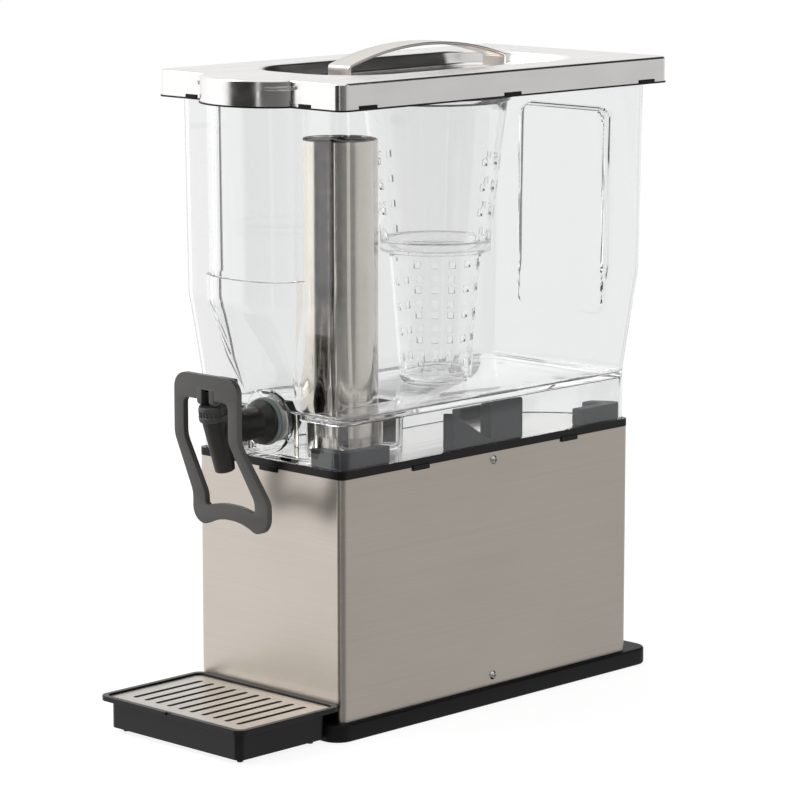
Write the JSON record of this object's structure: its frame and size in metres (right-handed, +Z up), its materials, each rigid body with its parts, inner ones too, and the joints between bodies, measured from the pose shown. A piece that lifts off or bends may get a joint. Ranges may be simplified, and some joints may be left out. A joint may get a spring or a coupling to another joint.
{
  "type": "beverage dispenser",
  "caption": "Gravity-fed cold drink dispenser: clear reservoir with ice tube and fruit infuser on a brushed steel base, steel lid with strap handle, push faucet, drip tray.",
  "frame": {"origin": "centre of the foot plate's flat underside, on the counter", "axes": "+Z up, +Y to the back, +X to the right as seen from the faucet side"},
  "size_m": [0.204, 0.467, 0.5235],
  "materials": {
    "base_steel": "fine brushed grain",
    "lid_steel": "satin, close to polished",
    "tube_steel": "bright drawn tube",
    "grille_steel": "satin",
    "screw_steel": "turned",
    "black_plastic": "fine moulded texture",
    "collar_plastic": "smooth moulded",
    "block_rubber": "matt",
    "pad_rubber": "matt",
    "clear_reservoir": "clear polycarbonate",
    "clear_infuser": "clear polycarbonate",
    "faucet_plastic": "moulded, slight sheen",
    "handle_plastic": "moulded, slight sheen",
    "silicone_grey": "silicone",
    "silicone_white": "silicone",
    "seal_red": "silicone"
  },
  "bodies": {
    "base": {"foot_plate": "black_plastic", "foot_pads": "pad_rubber", "base_shell": "base_steel", "base_collar": "collar_plastic", "deck_plate": "base_steel", "corner_blocks": "block_rubber", "side_blocks": "block_rubber", "base_screws": "screw_steel"},
    "reservoir": {"reservoir": "clear_reservoir", "faucet_body": "faucet_plastic", "faucet_bonnet": "handle_plastic", "washer_outer": "silicone_grey", "washer_inner": "silicone_white", "shank_nut": "black_plastic"},
    "stem": {"faucet_stem": "faucet_plastic", "seat_cup": "silicone_white", "handle_pin": "screw_steel"},
    "push_handle": {"faucet_handle": "handle_plastic"},
    "ice_tube": {"ice_tube": "tube_steel"},
    "stopper": {"tube_stopper": "black_plastic", "stopper_seal": "seal_red"},
    "lid": {"lid_cover": "lid_steel", "lid_liner": "black_plastic", "lid_handle": "lid_steel", "lid_screws": "screw_steel"},
    "infuser": {"infuser_sleeve": "clear_infuser"},
    "cup": {"infuser_cup": "clear_infuser"},
    "tray": {"drip_tray": "black_plastic"},
    "grille": {"tray_grille": "grille_steel"}
  },
  "joints": [
    {"name": "reservoir_lift", "type": "slide", "parent": "base", "child": "reservoir", "axis": [0, 0, 1], "range_m": [0, 0.06]},
    {"name": "lid_lift", "type": "slide", "parent": "reservoir", "child": "lid", "axis": [0, 0, 1], "range_m": [0, 0.27]},
    {"name": "infuser_turn", "type": "hinge", "parent": "lid", "child": "infuser", "pos_m": [0, 0.018, 0.483], "axis": [0, 0, 1], "range_deg": [0, 45]},
    {"name": "cup_turn", "type": "hinge", "parent": "infuser", "child": "cup", "pos_m": [0, 0.018, 0.361], "axis": [0, 0, 1], "range_deg": [0, 45]},
    {"name": "tube_lift", "type": "slide", "parent": "reservoir", "child": "ice_tube", "axis": [0, 0, 1], "range_m": [0, 0.018]},
    {"name": "stopper_pull", "type": "slide", "parent": "ice_tube", "child": "stopper", "axis": [0, 0, 1], "range_m": [0, 0.013]},
    {"name": "push_tilt", "type": "hinge", "parent": "stem", "child": "push_handle", "pos_m": [0, -0.22588, 0.26683], "axis": [1, 0, 0], "range_deg": [0, 15], "stiffness_Nm_per_rad": 0.6, "springref_deg": -6.88},
    {"name": "stem_lift", "type": "slide", "parent": "reservoir", "child": "stem", "axis": [0, -0.2215, 0.9751], "range_m": [0, 0.0009]},
    {"name": "tray_slide", "type": "slide", "parent": "base", "child": "tray", "axis": [0, -1, 0], "range_m": [0, 0.09]},
    {"name": "grille_lift", "type": "slide", "parent": "tray", "child": "grille", "axis": [0, 0, 1], "range_m": [0, 0.04]}
  ],
  "couplings": [
    {"joint": "stem_lift", "follows": "push_tilt", "m_per_rad": 0.0032}
  ]
}
